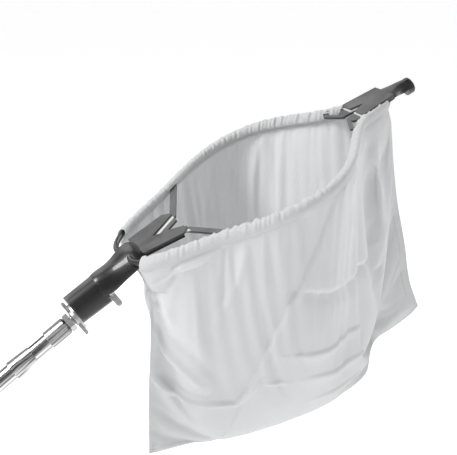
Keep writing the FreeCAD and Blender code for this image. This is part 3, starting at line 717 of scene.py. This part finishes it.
def make_hem(side):
    """Gathered hem: a loose sleeve round the rod, drawn tight into its stitch line."""
    line = hem_line(side, HEM_COLUMNS)
    length = np.linalg.norm(np.diff(line, axis=0), axis=1).sum()
    outward = outward_of(line, side)
    section = smooth_curve([(0.0, o, z) for o, z in HEM_SECTION], HEM_AROUND)
    wave = gathering(HEM_COLUMNS, length, 3 + side)
    other = gathering(HEM_COLUMNS, length, 30 + side)
    points = []
    for i, centre in enumerate(line):
        for j, (_, out, up) in enumerate(section):
            share = j / (HEM_AROUND - 1)
            loose = math.sin(math.pi * share)
            inner = smoothstep((share - 0.35) / 0.3) * loose
            swell = 1.0 + 0.14 * loose * wave[i] + 0.30 * inner * other[i]
            lift = 1.8 * inner * other[i] + 0.8 * loose * wave[i]
            points.append(centre + outward[i] * out * swell * MM + np.array((0, 0, up * swell + lift)) * MM)
    grid = np.array(points).reshape(HEM_COLUMNS, HEM_AROUND, 3)
    faces = [face for face in grid_faces(HEM_COLUMNS, HEM_AROUND) if not in_arm_slit(grid, face)]
    if side < 0:
        faces = [tuple(reversed(face)) for face in faces]
    uvs = np.stack(np.meshgrid(np.arange(HEM_COLUMNS) * length / HEM_COLUMNS,
                               np.arange(HEM_AROUND) * HEM_RING_STEP, indexing="ij"), axis=2).reshape(-1, 2)
    piece = new_piece("hem_" + SIDE_NAME[side], grid.reshape(-1, 3), faces, CANVAS, uvs=uvs)
    thicken(piece, 0.0)
    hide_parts("casing_" + SIDE_NAME[side])


SLIT_ROOM = 0.9 * MM
DEEPEST_INSIDE = 3.0 * MM   # half the width of the widest arm
ARM_TREES = []


def in_arm_slit(grid, face):
    """True where a hem face would touch one of the steel arms."""
    middle = Vector(grid.reshape(-1, 3)[list(face)].mean(axis=0))
    if not ARM_TREES:
        for name in ("near_arms", "far_arms", "far_fork", "socket_fork"):
            data = nodes[name].data
            ARM_TREES.append(BVHTree.FromPolygons([v.co for v in data.vertices],
                                                  [tuple(p.vertices) for p in data.polygons]))
    for tree in ARM_TREES:
        hit, normal, _, away = tree.find_nearest(middle)
        inside = away < DEEPEST_INSIDE and (middle - hit).dot(normal) < 0.0
        if inside or away < SLIT_ROOM:
            return True
    return False


# ---- stitching ------------------------------------------------------------------------------
def stitch_run(path, normals, pitch, length, radius):
    """Points and faces of a row of thread beads lying on a path."""
    path = np.asarray(path)
    reach = np.concatenate([[0.0], np.cumsum(np.linalg.norm(np.diff(path, axis=0), axis=1))])
    points, faces = [], []
    rings, around = 5, 6
    place = pitch
    while place < reach[-1] - pitch:
        at = np.array([np.interp(place, reach, path[:, k]) for k in range(3)])
        ahead = np.array([np.interp(place + length / 2, reach, path[:, k]) for k in range(3)])
        normal = np.array([np.interp(place, reach, normals[:, k]) for k in range(3)])
        normal /= np.linalg.norm(normal) + 1e-12
        along = ahead - at
        along /= np.linalg.norm(along) + 1e-12
        across = np.cross(normal, along)
        first = len(points)
        for ring in range(rings):
            t = ring / (rings - 1) * 2.0 - 1.0
            thin = radius * max(1.0 - t * t, 0.0) ** 0.5 + radius * 0.12
            rise = radius * 0.9 * (1.0 - t * t)
            for k in range(around):
                angle = 2 * math.pi * k / around
                points.append(at + along * t * length / 2 + normal * (rise + thin * math.sin(angle))
                              + across * thin * math.cos(angle))
        for ring in range(rings - 1):
            for k in range(around):
                nxt = (k + 1) % around
                faces.append((first + ring * around + k, first + ring * around + nxt,
                              first + (ring + 1) * around + nxt, first + (ring + 1) * around + k))
        faces.append(tuple(first + k for k in reversed(range(around))))
        faces.append(tuple(first + (rings - 1) * around + k for k in range(around)))
        place += pitch
    return points, faces


STITCH_PITCH = 3.4 * MM
STITCH_LENGTH = 2.3 * MM
THREAD_R = 0.3 * MM


def make_stitching(name, runs):
    points, faces = [], []
    for path, normals in runs:
        more_points, more_faces = stitch_run(path, normals, STITCH_PITCH, STITCH_LENGTH, THREAD_R)
        faces += [tuple(k + len(points) for k in face) for face in more_faces]
        points += more_points
    new_piece(name, points, faces, THREAD)


SEAM_INSET = 5              # grid lines between a seam's edge and its stitching


def stitch_bag(side, grid):
    """Thread along the hem, the near seam, the bottom and the far seam of one panel."""
    normals = grid_normals(grid, side)
    proud = grid + normals * 0.1 * MM
    below_seam_start = int(PANEL_ROWS * SEAM_START)
    runs = [(proud[2, :], normals[2, :]),
            (proud[-SEAM_INSET, :], normals[-SEAM_INSET, :]),
            (proud[below_seam_start:, SEAM_INSET], normals[below_seam_start:, SEAM_INSET]),
            (proud[below_seam_start:, -SEAM_INSET], normals[below_seam_start:, -SEAM_INSET])]
    make_stitching("stitching_" + SIDE_NAME[side], runs)


# ---- camera and studio --------------------------------------------------------------------
CAMERA_AZIMUTH = -23.4
CAMERA_ELEVATION = 18.0
CAMERA_DISTANCE = 1.3
CAMERA_TARGET = level(115.0, 0.0, 13.5)
LENS = 98.3


def look_direction(azimuth, elevation):
    azimuth = math.radians(azimuth)
    elevation = math.radians(elevation)
    return Vector((-math.sin(azimuth) * math.cos(elevation),
                   math.cos(azimuth) * math.cos(elevation), -math.sin(elevation)))


def make_camera():
    look = look_direction(CAMERA_AZIMUTH, CAMERA_ELEVATION)
    data = bpy.data.cameras.new("camera")
    data.lens = LENS
    camera = bpy.data.objects.new("camera", data)
    camera.location = CAMERA_TARGET - look * CAMERA_DISTANCE
    camera.rotation_euler = look.to_track_quat("-Z", "Y").to_euler()
    bpy.context.scene.collection.objects.link(camera)
    bpy.context.scene.camera = camera


def area_light(name, azimuth, elevation, distance, size, power):
    """Square soft box that looks at the bag from the given side, in the camera's angle terms."""
    data = bpy.data.lights.new(name, "AREA")
    data.size = size
    data.energy = power
    light = bpy.data.objects.new(name, data)
    aim = look_direction(azimuth, elevation)
    light.location = CAMERA_TARGET - aim * distance
    light.rotation_euler = aim.to_track_quat("-Z", "Y").to_euler()
    bpy.context.scene.collection.objects.link(light)


def make_world():
    """White studio; mirror-like surfaces see dark panels between the soft boxes."""
    world = bpy.data.worlds.new("studio")
    bpy.context.scene.world = world
    world.use_nodes = True
    tree = world.node_tree
    backdrop = tree.nodes["Background"]
    backdrop.inputs[0].default_value = (1.0, 1.0, 1.0, 1.0)
    backdrop.inputs[1].default_value = 0.42
    panels = tree.nodes.new("ShaderNodeBackground")
    where = tree.nodes.new("ShaderNodeTexCoord")
    bands = tree.nodes.new("ShaderNodeTexWave")
    bands.bands_direction = "Z"
    bands.inputs["Scale"].default_value = 1.3
    bands.inputs["Distortion"].default_value = 2.5
    bands.inputs["Detail"].default_value = 1.0
    tone = tree.nodes.new("ShaderNodeValToRGB")
    tone.color_ramp.elements[0].position = 0.45
    tone.color_ramp.elements[0].color = (0.04, 0.04, 0.045, 1.0)
    tone.color_ramp.elements[1].position = 0.75
    tone.color_ramp.elements[1].color = (1.0, 1.0, 1.0, 1.0)
    path = tree.nodes.new("ShaderNodeLightPath")
    mix = tree.nodes.new("ShaderNodeMixShader")
    tree.links.new(where.outputs["Generated"], bands.inputs["Vector"])
    tree.links.new(bands.outputs["Fac"], tone.inputs["Fac"])
    tree.links.new(tone.outputs["Color"], panels.inputs[0])
    tree.links.new(path.outputs["Is Glossy Ray"], mix.inputs[0])
    tree.links.new(backdrop.outputs[0], mix.inputs[1])
    tree.links.new(panels.outputs[0], mix.inputs[2])
    tree.links.new(mix.outputs[0], tree.nodes["World Output"].inputs[0])


FLOOR_DROP = 0.35
FLOOR_REACH = 30.0


def make_floor():
    """Plain pale floor, well below the hanging bag."""
    z = min(corner[2] for corner in cad_box) - FLOOR_DROP
    reach = FLOOR_REACH
    mesh = bpy.data.meshes.new("floor")
    mesh.from_pydata([(-reach, -reach, z), (reach, -reach, z), (reach, reach, z), (-reach, reach, z)],
                     [], [(0, 1, 2, 3)])
    shader = Shader("pale_floor")
    shader.set(Base_Color=grey(0.9), Roughness=0.9, Emission_Color=grey(1.0), Emission_Strength=0.6)
    mesh.materials.append(shader.material)
    floor = bpy.data.objects.new("floor", mesh)
    bpy.context.scene.collection.objects.link(floor)


dress_cad_nodes()
for cloth_side in (1, -1):
    stitch_bag(cloth_side, make_panel(cloth_side))
    make_hem(cloth_side)
make_camera()
make_world()
make_floor()
area_light("key", azimuth=-100.0, elevation=38.0, distance=1.6, size=0.5, power=22.0)
area_light("fill", azimuth=10.0, elevation=20.0, distance=1.8, size=1.4, power=3.0)
area_light("back", azimuth=115.0, elevation=40.0, distance=1.8, size=1.2, power=20.0)
bpy.context.scene.view_settings.view_transform = "Standard"
